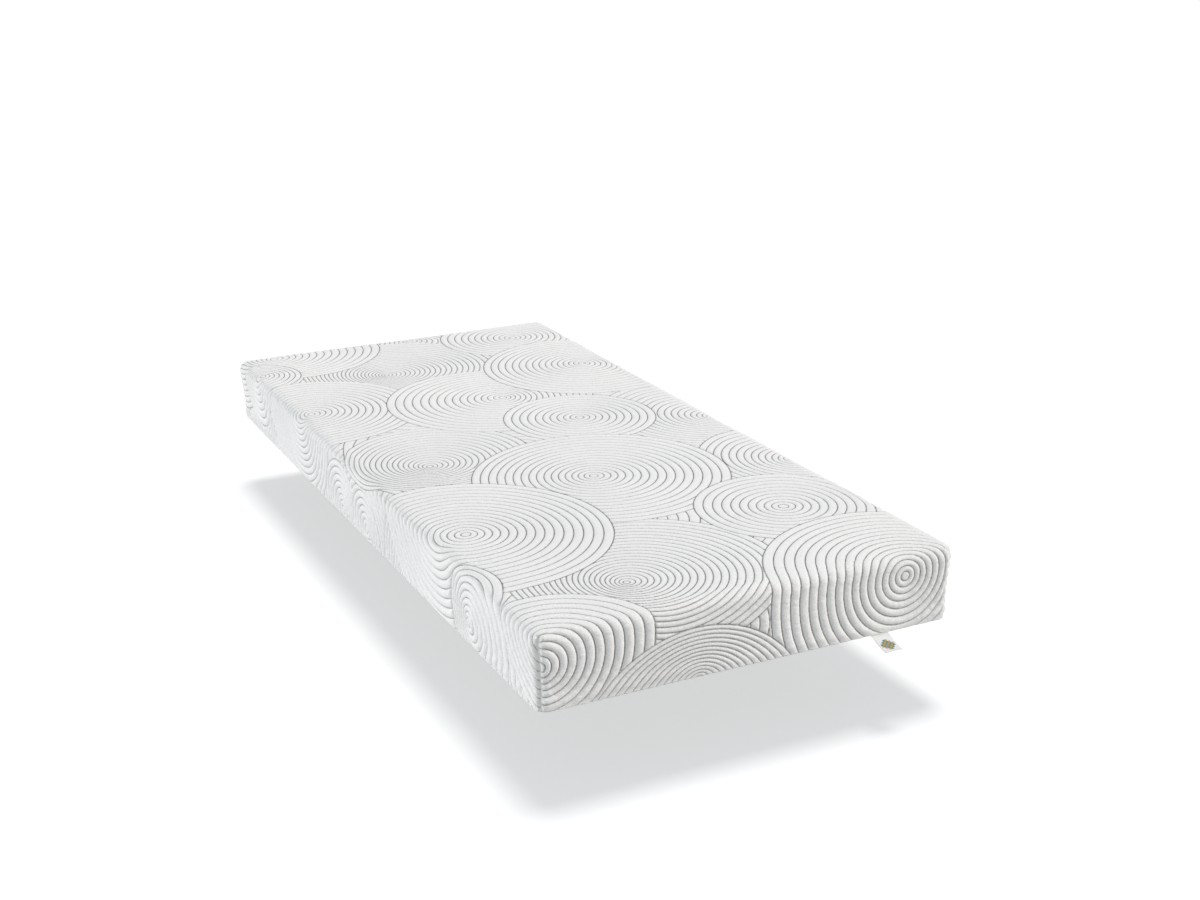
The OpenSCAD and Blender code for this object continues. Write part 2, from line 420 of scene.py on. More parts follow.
def swell(flat, points, normals):
    """How far the cloth stands off the foam block, from a cloth simulation of a coarse copy.

    Air pressure lifts the cover between its corner seams and its edges, which are held. The lift
    outwards is capped at 5 mm. It comes back as one value for each point of the coarse sheet.
    """
    piece = mesh_object("swelling", points, flat.quads())
    corner = flat.is_wall & (flat.to_corner < 1 * MM)
    held = np.unique(np.r_[flat.rings[0], flat.rings[-1], np.flatnonzero(corner)])
    pins = piece.vertex_groups.new(name="held")
    pins.add([int(i) for i in held], 1.0, "REPLACE")
    cloth = piece.modifiers.new("cloth", "CLOTH")
    cloth.settings.quality = 6
    cloth.settings.mass = 0.4
    cloth.settings.tension_stiffness = 40
    cloth.settings.compression_stiffness = 40
    cloth.settings.bending_stiffness = 4
    cloth.settings.use_pressure = True
    cloth.settings.uniform_pressure_force = 4
    cloth.settings.effector_weights.gravity = 0
    cloth.settings.vertex_group_mass = "held"
    cloth.point_cache.frame_start = 1
    cloth.point_cache.frame_end = 20
    for number in range(1, 21):
        bpy.context.scene.frame_set(number)
    shape = piece.evaluated_get(bpy.context.evaluated_depsgraph_get()).data
    moved = np.zeros(len(points) * 3)
    shape.vertices.foreach_get("co", moved)
    lift = ((moved.reshape(-1, 3) - points) * normals).sum(1)
    bpy.data.objects.remove(piece)
    bpy.context.scene.frame_set(1)
    return np.clip(lift, 0, 5 * MM)


def spread_out(coarse, lift, fine):
    """A field on the coarse sheet, read off between its lines at the fine sheet's points."""

    def between(grid, rows, cols, r, c):
        """The grid's value at r and c: straight lines between the four places about it."""
        i = np.clip(np.searchsorted(rows, r) - 1, 0, len(rows) - 2)
        j = np.clip(np.searchsorted(cols, c) - 1, 0, len(cols) - 2)
        s = (r - rows[i]) / (rows[i + 1] - rows[i])
        t = (c - cols[j]) / (cols[j + 1] - cols[j])
        near = grid[i, j] * (1 - t) + grid[i, j + 1] * t
        far = grid[i + 1, j] * (1 - t) + grid[i + 1, j + 1] * t
        return near * (1 - s) + far * s

    def travel(flat):
        """How far round the rim each of its points is, and the whole way round at the end."""
        step = np.hypot(np.diff(np.r_[flat.rim_u, flat.rim_u[0]]),
                        np.diff(np.r_[flat.rim_v, flat.rim_v[0]]))
        return np.r_[0, np.cumsum(step)]

    out = np.zeros(len(fine.u))
    count = fine.top.size
    out[:count] = between(lift[coarse.top], coarse.xs, coarse.ys, fine.u[:count], fine.v[:count])
    rings = lift[coarse.rings]
    rings = np.hstack([rings, rings[:, :1]])
    around = np.broadcast_to(travel(fine)[:-1], (len(fine.downs) - 1, len(fine.rim_u))).ravel()
    down = np.repeat(fine.downs[1:], len(fine.rim_u))
    out[count:] = between(rings, coarse.downs, travel(coarse), down, around)
    return out


def soft_field(fine):
    """The cover's broad unevenness: half the simulated swelling, and slow waves.

    The waves are two sines that run slantwise over the sheet and the product of two that run along
    its sides, each up to a quarter of a millimetre.
    """
    slow = (np.sin(7.1 * fine.u + 3.3 * fine.v) + np.sin(4.7 * fine.v - 5.9 * fine.u + 1)
            + np.sin(13 * fine.u + 2) * np.sin(9 * fine.v)) * 0.25 * MM
    coarse = cover_flat(28 * MM)
    points, normals = fold(coarse.u, coarse.v, HALF, TOP, EDGE_R)
    return slow + 0.5 * spread_out(coarse, swell(coarse, points, normals), fine)


def quilted_cover():
    """The quilted face with its wadding, top and walls, and the hem that turns in under it.

    Each point of the folded sheet moves along its normal by the depth of the stitched lines there,
    plus the quilting's height, plus the broad unevenness. The height is less on the top, dies away
    beside the corner seams, and falls to about a third at the lower edge.
    """
    flat = cover_flat(FINE)
    gone, share = shorten(flat)
    columns = len(flat.rim_u)
    count = flat.top.size
    soft = soft_field(flat)
    used = np.outer(flat.downs[1:], np.ones(columns)) * share
    flat.u[count:] = (flat.rim_u + flat.out_u * used).ravel()
    flat.v[count:] = (flat.rim_v + flat.out_v * used).ravel()
    last = np.zeros(len(flat.u), bool)
    last[flat.rings[-2:].ravel()] = True
    free = (flat.to_corner > 2.5 * FINE) & ~last
    rim_gap = np.minimum(HALF[0] - np.abs(flat.u), HALF[1] - np.abs(flat.v))
    free &= flat.is_wall | (rim_gap > 0.5 * FINE)
    part_open = (gone > 0) & (gone < 1)
    free[flat.rings[1:, part_open].ravel()] = False
    u, v, stitched = snap_to_grooves(flat.u, flat.v, free, 0.5 * FINE)
    points, normals = fold(u, v, HALF, TOP, EDGE_R)
    height, groove = quilt(u, v, stitched)
    upness = normals[:, 2] ** 2
    height *= 1 - (1 - TOP_PUFF) * smooth_step(0.2, 0.95, upness)
    # the corner seams draw the quilting in, and it thins out towards the lower edge
    near_seam = np.exp(-((flat.to_corner / (5 * MM)) ** 2)) * (1 - smooth_step(0.3, 0.7, upness))
    height *= 1 - near_seam
    z = points[:, 2]
    edge_z = np.r_[np.zeros(count), np.tile(TOP - flat.downs[-1] * share, len(flat.downs) - 1)]
    height *= 0.35 + 0.65 * smooth_step(0, 20 * MM, np.where(flat.is_wall, z - edge_z, 1))
    line = wall_line(z) * (1 - upness) - TOP_SINK * upness
    bite = 1.6 * MM * near_seam
    offset = line + height - bite + soft
    points = points + normals * offset[:, None]
    turn = turned_in(flat, gone)
    extra = len(points) + np.arange(turn[..., 0].size).reshape(-1, columns)
    face = turned_to_grooves(flat.quads(), stitched)
    quads = np.vstack([face, grid_quads(np.vstack([flat.rings[-1], extra]), close=True)])
    points = np.vstack([points, turn.reshape(-1, 3)])
    plain = np.zeros(extra.size)
    # groove, each point's distance to a groove, and lying, how much it faces up, place the knit's
    # painted crease shade and make it darker on the top
    values = {
        "groove": np.r_[groove, plain + 0.01],
        "lying": np.r_[upness, plain],
    }
    return mesh_object("quilted_cover", points, quads, values)


def corner_seams():
    """A narrow welt up each upright corner: a round cord, sunk in, just beside the stitch line.

    Its middle line follows the folded sheet's corner. Over the last three steps at each end its
    radius falls, as a square root, to about a quarter.
    """
    steps, sides, radius = 70, 8, 0.75 * MM
    sunk, aside = 1.0 * MM, 1.1 * MM
    down = np.linspace(4 * MM, TOP - 3 * MM, steps)
    turn = np.linspace(0, 2 * math.pi, sides, endpoint=False)
    points, quads = [], []
    for side_x, side_y in ((-1, -1), (1, -1), (1, 1), (-1, 1)):
        u = np.full(steps, side_x * HALF[0])
        spine, normal = fold(u, side_y * (HALF[1] + down), HALF, TOP, EDGE_R)
        upness = normal[:, 2] ** 2
        off = wall_line(spine[:, 2]) * (1 - upness) - TOP_SINK * upness - sunk
        spine = spine + normal * off[:, None]
        beside = np.cross(normal, np.gradient(spine, axis=0))
        beside /= np.linalg.norm(beside, axis=1)[:, None]
        spine = spine + beside * (aside * np.sign(beside[:, :1]))
        step = np.arange(steps)
        size = radius * np.sqrt(np.clip(np.minimum(step + 0.2, steps - 0.8 - step) / 3, 0, 1))
        ring = (np.cos(turn)[None, :, None] * normal[:, None]
                + np.sin(turn)[None, :, None] * beside[:, None])
        shell = spine[:, None] + ring * size[:, None, None]
        index = len(points) * steps * sides + np.arange(steps * sides).reshape(steps, sides)
        points.append(shell.reshape(-1, 3))
        quads.append(grid_quads(index, close=True))
    return outward(mesh_object("corner_welts", np.vstack(points), np.vstack(quads)))


def lining():
    """The thin cloth behind the wadding.

    Between the stitched lines it bellies in by 0.14 of the quilting's height.
    """
    level, cell = TOP - LINING_IN, 6.2 * MM
    half = HALF - LINING_IN
    depth = level - HEM_TOP
    downs = np.linspace(0, depth, math.ceil(depth / cell) + 1)
    flat = Unfolded(lines(half[0], cell), lines(half[1], cell), downs)
    free = flat.is_wall | (np.minimum(half[0] - np.abs(flat.u), half[1] - np.abs(flat.v)) > cell / 2)
    free &= flat.to_corner > 1.5 * cell
    free[flat.rings[-1]] = False
    u, v, stitched = snap_to_grooves(flat.u, flat.v, free, cell / 2)
    points, normals = fold(u, v, half, level, EDGE_R / 2)
    height, groove = quilt(u, v, stitched)
    points -= normals * (0.14 * height)[:, None]
    return mesh_object("cover_lining", points, flat.quads()[:, ::-1], {"groove": groove})


# ---------------------------------------------------------------- pieces that run round the bed


def outline(radius, cell):
    """The mattress's outline, once round from the middle of the foot: points and outward normals."""
    straight_x, straight_y = HALF - radius

    def along(length):
        """Distances from nought up to the length, a cell apart or less, without the last."""
        return np.linspace(0, length, max(2, math.ceil(length / cell) + 1))[:-1]
    half_foot, side, foot = along(straight_x), along(2 * straight_y), along(2 * straight_x)
    arc = np.linspace(0, math.pi / 2, max(6, math.ceil(radius * 1.57 / cell) + 1))[:-1]
    points, normals = [], []

    def run(start, step, distances, normal):
        """Adds a straight stretch."""
        points.append(np.array(start) + np.outer(distances, step))
        normals.append(np.tile(np.array(normal, float), (len(distances), 1)))

    def bend(centre, first):
        """Adds a quarter turn about a centre, from its first angle."""
        angle = first + arc
        normal = np.stack([np.cos(angle), np.sin(angle)], 1)
        points.append(np.array(centre) + radius * normal)
        normals.append(normal)

    run((0, -HALF[1]), (1, 0), half_foot, (0, -1))
    bend((straight_x, -straight_y), -math.pi / 2)
    run((HALF[0], -straight_y), (0, 1), side, (1, 0))
    bend((straight_x, straight_y), 0)
    run((straight_x, HALF[1]), (-1, 0), foot, (0, 1))
    bend((-straight_x, straight_y), math.pi / 2)
    run((-HALF[0], straight_y), (0, -1), side, (-1, 0))
    bend((-straight_x, -straight_y), math.pi)
    run((-straight_x, -HALF[1]), (1, 0), half_foot, (0, -1))
    return np.vstack(points), np.vstack(normals)


def carried_round(section, radius, cell):
    """Points of a section, given as distances in and heights, carried once round the outline."""
    place, normal = outline(radius, cell)
    section = np.asarray(section)
    ring = place[None] - normal[None] * section[:, :1, None]
    height = np.broadcast_to(section[:, 1:, None], ring[..., :1].shape)
    return np.concatenate([ring, height], -1)


def hoop(name, section, cell=8 * MM):
    """A band of closed section all the way round, such as a tape."""
    grid = carried_round(section, CORNER_R, cell)
    index = np.arange(grid.shape[0] * grid.shape[1]).reshape(grid.shape[:2])
    index = np.vstack([index, index[:1]])
    return outward(mesh_object(name, grid.reshape(-1, 3), grid_quads(index, close=True), smooth=False))


def slab(name, profile, cell=10 * MM, waviness=0.0):
    """A closed block whose side follows a profile of distances in and heights, from the top down.

    The flat top and underside are strips between points that mirror each other across the bed. A
    waviness stretches it outwards by that share of a sine that runs slantwise through the block.
    """
    grid = carried_round(profile, CORNER_R, cell)
    rows, columns = grid.shape[:2]
    if waviness:
        x, y, z = grid[..., 0], grid[..., 1], grid[..., 2]
        grid[..., :2] *= (1 + waviness * np.sin(17 * x + 11 * y + 40 * z))[..., None]
    index = np.arange(rows * columns).reshape(rows, columns)
    k = np.arange(columns // 2)
    other = -k % columns
    top = np.stack([index[0, k], index[0, k + 1], index[0, other - 1], index[0, other]], 1)
    low = np.stack([index[-1, k], index[-1, other], index[-1, other - 1], index[-1, k + 1]], 1)
    caps = np.vstack([top[1:-1], low[1:-1]])
    quads = np.vstack([grid_quads(index, close=True), caps])
    piece = mesh_object(name, grid.reshape(-1, 3), quads, smooth=False)
    return close_and_turn_out(piece)


def close_and_turn_out(piece):
    """Fills the narrow gaps that are left at the ends of a slab's strips, and faces it outwards."""
    work = bmesh.new()
    work.from_mesh(piece.data)
    bmesh.ops.remove_doubles(work, verts=work.verts, dist=1e-6)
    bmesh.ops.holes_fill(work, edges=[e for e in work.edges if e.is_boundary], sides=0)
    bmesh.ops.recalc_face_normals(work, faces=work.faces)
    work.to_mesh(piece.data)
    work.free()
    return piece


def outward(piece):
    """Turns a closed mesh's faces outwards."""
    work = bmesh.new()
    work.from_mesh(piece.data)
    bmesh.ops.recalc_face_normals(work, faces=work.faces)
    work.to_mesh(piece.data)
    work.free()
    return piece


def rounded(radius, inset, top, low):
    """Profile of a slab's side with its top edge rounded to a radius and its lower edge eased."""
    arc = np.linspace(0, math.pi / 2, 7)
    upper = np.c_[inset + radius * (1 - np.sin(arc)), top - radius * (1 - np.cos(arc))]
    side = np.linspace(top - radius, low + 1.2 * MM, 6)[1:]
    ease = [(inset, z) for z in side] + [(inset + 0.4 * MM, low + 0.4 * MM), (inset + 1.4 * MM, low)]
    return np.vstack([upper, ease])


def foam_core():
    """The support foam: a block cut square, with its edges hardly eased."""
    low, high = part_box("support_core")
    return slab("foam_core", rounded(0.8 * MM, HALF[0] - high.x, high.z, low.z), waviness=1.5e-4)


def memory_foam():
    """The memory foam on top of the core, with a soft top edge."""
    low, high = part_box("memory_layer")
    return slab("memory_foam", rounded(7 * MM, HALF[0] - high.x, high.z, low.z), waviness=1e-4)


def base_cloth():
    """The underside panel: two cloths with a thin felt between, oversewn round its edge."""
    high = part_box("base_panel")[1]
    inset = HALF[0] - high.x
    return slab("base_cloth", [
        (inset + 14 * MM, high.z - 0.1 * MM), (inset + 9 * MM, high.z - 0.15 * MM),
        (inset + 3 * MM, high.z - 0.5 * MM), (inset + 1 * MM, high.z - 0.9 * MM),
        (inset + 0.1 * MM, 1.6 * MM), (inset + 0.5 * MM, 0.5 * MM), (inset + 2 * MM, 0.15 * MM),
        (inset + 8 * MM, 0.02 * MM), (inset + 14 * MM, 0),
    ])


def tape(name, node, upward):
    """A zip tape: an upright strip behind its teeth, folded flat where it is sewn to the cloth."""
    low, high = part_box(node)
    outer, thick = HALF[0] - high.x, 0.5 * MM
    sewn, teeth = (low.z, high.z + 0.4 * MM) if upward else (high.z, low.z - 0.4 * MM)
    way = 1 if upward else -1
    flange = outer + 2.9 * MM
    return hoop(name, [
        (outer, sewn), (outer, teeth), (outer + thick, teeth),
        (outer + thick, sewn + way * thick), (flange, sewn + way * thick), (flange, sewn),
    ])


def coil(name, node, slot, phase, pitch=1.7 * MM):
    """A row of zip teeth: blunt wedges, one every pitch, left out over the slot at the head end."""
    low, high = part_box(node)
    place, normal = outline(CORNER_R, 0.25 * MM)
    step = np.linalg.norm(np.diff(place, axis=0, append=place[:1]), axis=1)
    travel = np.r_[0, np.cumsum(step)]
    count = int(travel[-1] / pitch)
    at = (np.arange(count) + phase) * travel[-1] / count
    k = np.searchsorted(travel, at) % len(place)
    spot, out = place[k], normal[k]
    clear = (spot[:, 1] > HALF[1] - 30 * MM) & (spot[:, 0] > slot[0]) & (spot[:, 0] < slot[1])
    spot, out = spot[~clear], out[~clear]
    along = np.stack([-out[:, 1], out[:, 0]], 1)
    middle = HALF[0] - high.x + 1 * MM
    corners = np.array([
        (a * 0.52 * size, b * size, z)
        for z, size in ((0.0, 0.75), (0.25, 1.0), (0.75, 1.0), (1.0, 0.7))
        for a, b in ((-1, -1), (1, -1), (1, 1), (-1, 1))
    ])
    flat = (spot[:, None] - out[:, None] * (middle + corners[None, :, 1:2] * 1 * MM)
            + along[:, None] * corners[None, :, :1] * MM)
    height = low.z + corners[:, 2] * (high.z - low.z)
    points = np.concatenate([flat, np.broadcast_to(height[None, :, None], flat[..., :1].shape)], -1)
    sides = np.array([(r * 4 + i, r * 4 + (i + 1) % 4, r * 4 + 4 + (i + 1) % 4, r * 4 + 4 + i)
                      for r in range(3) for i in range(4)])
    faces = np.vstack([sides, [(3, 2, 1, 0), (12, 13, 14, 15)]])
    quads = (faces[None] + 16 * np.arange(len(spot))[:, None, None]).reshape(-1, 4)
    return outward(mesh_object(name, points.reshape(-1, 3), quads, smooth=False))


# ---------------------------------------------------------------- metal and label


def softened(node, name, bevel):
    """A copy of a metal part with its edges merged and rounded off."""
    work = bmesh.new()
    work.from_mesh(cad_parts[node].data)
    bmesh.ops.remove_doubles(work, verts=work.verts, dist=1e-6)
    bmesh.ops.dissolve_limit(work, verts=work.verts, edges=work.edges, angle_limit=0.02)
    bmesh.ops.recalc_face_normals(work, faces=work.faces)
    mesh = bpy.data.meshes.new(name)
    work.to_mesh(mesh)
    work.free()
    piece = bpy.data.objects.new(name, mesh)
    bpy.context.scene.collection.objects.link(piece)
    round_off = piece.modifiers.new("round", "BEVEL")
    round_off.width = bevel
    round_off.segments = 3
    round_off.limit_method = "ANGLE"
    round_off.angle_limit = math.radians(35)
    round_off.harden_normals = True
    return piece


def strip(name, path, low_x, high_x, thickness, reach=1.0, columns=24):
    """A narrow cloth carried along a path of y and z.

    Its values are the share across, and the share along, which runs from nought to reach.
    """
    path = np.asarray(path)
    across = np.linspace(0, 1, columns)
    x = low_x + (high_x - low_x) * across
    along = np.r_[0, np.cumsum(np.linalg.norm(np.diff(path, axis=0), axis=1))]
    along /= along[-1]
    curl = 0.5 * MM * np.sin(math.pi * across)[None] * smooth_step(0.2, 1, along)[:, None]
    points = np.stack([
        np.broadcast_to(x, (len(path), columns)),
        np.broadcast_to(path[:, :1], (len(path), columns)),
        path[:, 1:] + curl - 0.5 * MM * smooth_step(0.2, 1, along)[:, None],
    ], -1)
    values = {
        "across": np.tile(across, len(path)),
        "along": np.repeat(along * reach, columns),
    }
    index = np.arange(len(path) * columns).reshape(len(path), columns)
    piece = mesh_object(name, points.reshape(-1, 3), grid_quads(index), values)
    thick = piece.modifiers.new("thickness", "SOLIDIFY")
    thick.thickness = thickness
    thick.offset = 0
    return piece


def label():
    """The woven label: out from under the hem, over in a soft bend, and down as far as it may.

    Its slope starts at 3 degrees down, gains 28 over the first quarter, and loses most of those
    evenly towards its end.
    """
    first_slope, droop, ease = math.radians(3), math.radians(28), 0.9
    low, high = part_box("label")
    start = high.y - 0.3 * MM
    t = np.linspace(0, 1, 40)
    length = high.y - low.y
    slope = -first_slope - droop * smooth_step(0.02, 0.25, t) * (1 - ease * t)
    step = length / (len(t) - 1)
    y = start - np.r_[0, np.cumsum(np.cos(slope[1:]) * step)]
    z = 0.3 * MM + np.r_[0, np.cumsum(np.sin(slope[1:]) * step)]
    return strip("label_cloth", np.c_[y, z], low.x, high.x, 0.5 * MM)


def label_tab():
    """The end of the label that is sewn in behind the hem."""
    low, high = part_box("label_tab")
    y = (low.y + high.y) / 2
    z = np.linspace(low.z + 0.3 * MM, high.z, 8)
    return strip("label_tab_cloth", np.c_[np.full(8, y), z], low.x, high.x, 0.5 * MM, reach=0.0)


# ---------------------------------------------------------------- stage, light and camera


def camera():
    """A camera in front of the foot end and to its left, looking down along the bed."""
    azimuth, elevation, roll = (math.radians(a) for a in (-25.77, 18.89, -0.80))
    place = Vector((-1.532, -3.510, 1.434))
    back = Vector((
        math.sin(azimuth) * math.cos(elevation),
        -math.cos(azimuth) * math.cos(elevation),
        math.sin(elevation),
    ))
    right = (-back).cross(Vector((0, 0, 1))).normalized()
    up = right.cross(-back)
    rolled_right = right * math.cos(roll) + up * math.sin(roll)
    rolled_up = up * math.cos(roll) - right * math.sin(roll)
    lens = bpy.data.cameras.new("camera")
    lens.lens = 51.41
    lens.sensor_width = 36
    lens.clip_start = 0.05
    lens.clip_end = 200
    seen = bpy.data.objects.new("camera", lens)
    seen.matrix_world = Matrix((
        (rolled_right.x, rolled_up.x, back.x, place.x),
        (rolled_right.y, rolled_up.y, back.y, place.y),
        (rolled_right.z, rolled_up.z, back.z, place.z),
        (0, 0, 0, 1),
    ))
    bpy.context.scene.collection.objects.link(seen)
    bpy.context.scene.camera = seen


def sun(name, toward, strength, spread, tint=(1, 1, 1), lights=None):
    """A soft distant light that shines along toward, on the objects of one collection or on all."""
    data = bpy.data.lights.new(name, "SUN")
    data.energy = strength
    data.angle = math.radians(spread)
    data.color = tint
    lamp = bpy.data.objects.new(name, data)
    lamp.rotation_mode = "QUATERNION"
    lamp.rotation_quaternion = Vector(toward).to_track_quat("-Z", "Y")
    bpy.context.scene.collection.objects.link(lamp)
    if lights:
        lamp.light_linking.receiver_collection = lights


def studio():
    """A white floor well below the mattress, an even sky and soft lamps."""
    size = 40.0
    level = -0.18
    corner = np.array([(-size, -size), (size, -size), (size, size), (-size, size)])
    points = np.c_[corner, np.full(4, level)]
    floor = mesh_object("studio_floor", points, np.array([[0, 1, 2, 3]]), smooth=False)
    paint = Finish("studio floor", (0.6, 0.6, 0.6), 1.0)
    paint.shader.inputs["Emission Color"].default_value = (1, 1, 1, 1)
    paint.shader.inputs["Emission Strength"].default_value = 0.50
    paint.shader.inputs["Specular IOR Level"].default_value = 0
    floor.data.materials.append(paint.material)
    floor.visible_diffuse = False
    floor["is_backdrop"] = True
    world = bpy.data.worlds.new("sky")
    world.use_nodes = True
    sky = world.node_tree.nodes["Background"]
    sky.inputs["Color"].default_value = (0.92, 0.96, 1.0, 1)
    sky.inputs["Strength"].default_value = 0.42
    # past the floor's edge the camera sees plain white, which lights nothing
    new_node, link = world.node_tree.nodes.new, world.node_tree.links.new
    ray = new_node("ShaderNodeLightPath")
    white = new_node("ShaderNodeBackground")
    white.inputs["Strength"].default_value = 1.2
    either = new_node("ShaderNodeMixShader")
    link(ray.outputs["Is Camera Ray"], either.inputs[0])
    link(sky.outputs[0], either.inputs[1])
    link(white.outputs[0], either.inputs[2])
    link(either.outputs[0], world.node_tree.nodes["World Output"].inputs[0])
    bpy.context.scene.world = world
    floor_only = bpy.data.collections.new("floor")
    floor_only.objects.link(floor)
    made = bpy.data.collections.new("mattress")
    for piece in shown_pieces():
        made.objects.link(piece)
    sun("floor_lamp", (-0.12, -0.15, -1), 2.1, 20, lights=floor_only)
    sun("key", (-0.80, 0.42, -0.44), 2.45, 12, (1, 0.97, 0.935), lights=made)
    sun("front_fill", (-0.35, 1, -0.02), 0.58, 40, (1, 0.90, 0.78), lights=made)
    sun("left_fill", (0.86, -0.45, -0.05), 3.7, 110, lights=made)
    scene = bpy.context.scene
    scene.view_settings.view_transform = "Standard"
    scene.view_settings.exposure = 0
    scene.view_settings.gamma = 1


# ---------------------------------------------------------------- finishes


class Value:
    """One socket in a finish, with arithmetic: each sign adds the Math node that it stands for."""

    def __init__(self, finish, socket):
        self.finish, self.socket = finish, socket

    def maths(self, operation, *others):
        """The Math node of that operation, on this value and then the others."""
        sockets = dict(enumerate((self, *others)))
        return self.finish.node("ShaderNodeMath", {"operation": operation}, sockets)

    def __add__(self, other):
        return self.maths("ADD", other)

    def __sub__(self, other):
        return self.maths("SUBTRACT", other)

    def __rsub__(self, other):
        return self.finish.node("ShaderNodeMath", {"operation": "SUBTRACT"}, {0: other, 1: self})

    def __mul__(self, other):
        return self.maths("MULTIPLY", other)

    def __truediv__(self, other):
        return self.maths("DIVIDE", other)

    __radd__ = __add__
    __rmul__ = __mul__


class Finish:
    """A material with one Principled shader, and a method that adds any other node to it."""

    def __init__(self, name, colour, roughness, **fixed):
        self.material = bpy.data.materials.new(name)
        self.material.use_nodes = True
        self.tree = self.material.node_tree
        self.shader = self.tree.nodes["Principled BSDF"]
        self.shader.inputs["Base Color"].default_value = (*colour, 1)
        self.shader.inputs["Roughness"].default_value = roughness
        for socket, value in fixed.items():
            self.shader.inputs[socket.replace("_", " ")].default_value = value
        self.material.diffuse_color = (*colour, 1)

    def node(self, kind, settings=None, sockets=None, out=0):
        """Adds a node of that kind, sets its settings and then its sockets, and returns an output."""
        new = self.tree.nodes.new(kind)
        for key, value in (settings or {}).items():
            setattr(new, key, value)
        for key, value in (sockets or {}).items():
            if isinstance(value, Value):
                self.tree.links.new(value.socket, new.inputs[key])
            else:
                new.inputs[key].default_value = value
        return Value(self, new.outputs[out])

    def feed(self, socket, value):
        """Links a value to one of the shader's sockets."""
        self.tree.links.new(value.socket, self.shader.inputs[socket])

    def place(self, stretch=(1, 1, 1)):
        """Object coordinates in metres, stretched."""
        where = self.node("ShaderNodeTexCoord", out=3)
        return self.node("ShaderNodeMapping", {}, {"Vector": where, "Scale": stretch})

    def noise(self, scale, detail=3, stretch=(1, 1, 1)):
        """Smooth random grey, with about that many blotches to the metre."""
        sockets = {"Vector": self.place(stretch), "Scale": scale, "Detail": detail}
        return self.node("ShaderNodeTexNoise", {}, sockets)

    def cells(self, scale):
        """Distance to the nearest cell centre, with about that many cells to the metre."""
        sockets = {"Vector": self.place(), "Scale": scale}
        return self.node("ShaderNodeTexVoronoi", {"feature": "F1"}, sockets)

    def waves(self, ribs, direction):
        """Even ribs, that many to the metre along the direction."""
        settings = {"wave_type": "BANDS", "bands_direction": direction, "wave_profile": "SIN"}
        scale = ribs * math.pi / 10
        sockets = {"Vector": self.place(), "Scale": scale, "Distortion": 0.4, "Detail": 1}
        return self.node("ShaderNodeTexWave", settings, sockets)

    def point_value(self, name):
        """A value that the mesh holds at each of its points."""
        return self.node("ShaderNodeAttribute", {"attribute_name": name}, out=2)

    def between(self, value, low, high, start=0.0, end=1.0):
        """Value from low to high as start to end, with a smooth rise."""
        sockets = {"Value": value, "From Min": low, "From Max": high, "To Min": start, "To Max": end}
        return self.node("ShaderNodeMapRange", {"interpolation_type": "SMOOTHSTEP"}, sockets)

    def mix(self, factor, one, two):
        """Colour one where factor is 0, and colour two where it is 1."""
        sockets = {0: factor}
        for key, colour in ((6, one), (7, two)):
            sockets[key] = colour if isinstance(colour, Value) else (*colour, 1)
        return self.node("ShaderNodeMix", {"data_type": "RGBA"}, sockets, out=2)

    def bump(self, height, distance, strength):
        """Tilts the shading as if the surface rose by the distance where the height is 1."""
        sockets = {"Height": height, "Distance": distance, "Strength": strength}
        self.feed("Normal", self.node("ShaderNodeBump", {}, sockets))


CREASE_CORE = 0.1 * MM  # nearer to a groove than this, the painted crease shade is at its darkest


def knit():
    """White stretch knit: blistered loops 3 mm apart, a soft sheen, and painted shade along the stitched
    lines, darker on the top than on the walls.
    """
    finish = Finish("quilted knit", (0.82, 0.82, 0.81), 0.9, Sheen_Weight=0.15,
                    Sheen_Roughness=0.5, Specular_IOR_Level=0.25)
    groove = finish.point_value("groove")
    # painted shade in the stitched creases: full within 0.1 mm of a groove and gone at 1.9 mm; a fainter
    # painted shade reaches out to 4 mm
    crease_shade = finish.between(groove, CREASE_CORE, 1.9 * MM, 1.0, 0.0)
    shade = finish.between(groove, CREASE_CORE, 4 * MM, 0.08, 0.0)
    uneven = finish.between(finish.noise(240, 2), 0.3, 0.7, 0.6, 1.0)
    broad = finish.between(finish.noise(3, 2), 0.3, 0.7)
    loops = finish.cells(330)
    fluff = finish.noise(800, 3)
    grain = finish.between(loops + fluff * 0.6, 0.45, 1.15)
    cloth = finish.mix(broad, (0.82, 0.82, 0.82), (0.86, 0.86, 0.855))
    cloth = finish.mix(grain * 0.5, cloth, (0.66, 0.66, 0.65))
    # the painted crease shade is darker where the cloth faces up, on the top, than on the walls
    lying = finish.point_value("lying")
    ink_and_shade = finish.mix(lying, (0.30, 0.30, 0.28), (0.10, 0.10, 0.10))
    finish.feed("Base Color", finish.mix(crease_shade * uneven + shade, cloth, ink_and_shade))
    finish.feed("Roughness", finish.between(fluff, 0.2, 0.8, 0.82, 0.98))
    finish.bump(1 - loops * 0.9 + fluff * 0.5, 0.8 * MM, 0.7)
    return finish.material


def lining_cloth():
    """Thin bonded cloth, pressed with a fine square grid, dimpled along the stitches, with painted shade
    along them.
    """
    finish = Finish("lining cloth", (0.74, 0.74, 0.73), 0.95, Sheen_Weight=0.1)
    # painted shade along the stitched creases, darkest at a groove and gone at 2 mm
    line = finish.between(finish.point_value("groove"), CREASE_CORE, 2 * MM, 1.0, 0.0)
    fibres = finish.noise(700, 4)
    tone = finish.mix(finish.between(fibres, 0.3, 0.7), (0.70, 0.70, 0.69), (0.79, 0.79, 0.78))
    finish.feed("Base Color", finish.mix(line * 0.6, tone, (0.45, 0.45, 0.43)))
    weave = finish.waves(400, "X") * finish.waves(400, "Y")
    finish.bump(weave * 0.5 + fibres, 0.2 * MM, 0.5)
    return finish.material


